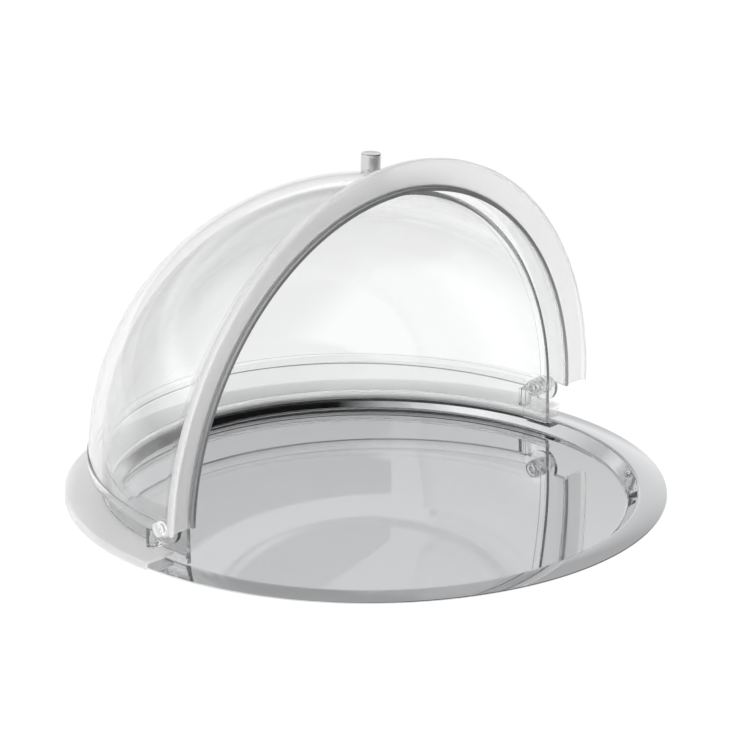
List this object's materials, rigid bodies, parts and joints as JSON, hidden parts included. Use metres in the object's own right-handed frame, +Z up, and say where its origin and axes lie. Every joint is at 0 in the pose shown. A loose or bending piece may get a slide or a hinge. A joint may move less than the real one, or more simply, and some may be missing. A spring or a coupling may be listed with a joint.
{
  "type": "roll-top serving tray",
  "caption": "Round mirror-polished serving tray with a clear two-piece roll-top dome; the hood turns back on side pivots and has an upright chromed knob.",
  "frame": {"origin": "centre of the tray's flat underside", "axes": "+Z up; X along the hood's pivot axis; -Y is the front, where the hood opens"},
  "size_m": [0.387, 0.3835, 0.2263],
  "materials": {
    "mirror_steel": "mirror-polished stainless sheet",
    "clear_cover": "clear moulded polycarbonate, glossy",
    "clear_fitting": "clear to milky moulded plastic",
    "white_fitting": "milky white moulded plastic",
    "chrome": "polished chromium plate",
    "screw_steel": "plain stainless",
    "soft_clear": "soft clear sheet"
  },
  "bodies": {
    "tray_body": {"tray": "mirror_steel"},
    "cover_body": {"rear_cover": "clear_cover", "pivot_sleeve_left": "clear_fitting", "pivot_inner_washer_left": "clear_fitting", "pivot_spacer_left": "clear_fitting", "pivot_outer_washer_left": "clear_fitting", "pivot_screw_left": "white_fitting", "pivot_sleeve_right": "clear_fitting", "pivot_inner_washer_right": "clear_fitting", "pivot_spacer_right": "clear_fitting", "pivot_outer_washer_right": "clear_fitting", "pivot_screw_right": "white_fitting", "hood_stop_left": "clear_fitting", "hood_stop_right": "clear_fitting"},
    "hood_body": {"hood": "clear_cover", "knob": "chrome", "knob_outer_gasket": "soft_clear", "knob_inner_gasket": "soft_clear", "knob_washer": "screw_steel", "knob_screw": "screw_steel"}
  },
  "joints": [
    {"name": "cover_lift", "type": "slide", "parent": "tray_body", "child": "cover_body", "axis": [0, 0, 1], "range_m": [0, 0.25]},
    {"name": "hood_hinge", "type": "hinge", "parent": "cover_body", "child": "hood_body", "pos_m": [0, 0, 0.0312], "axis": [1, 0, 0], "range_deg": [0, 88]}
  ]
}
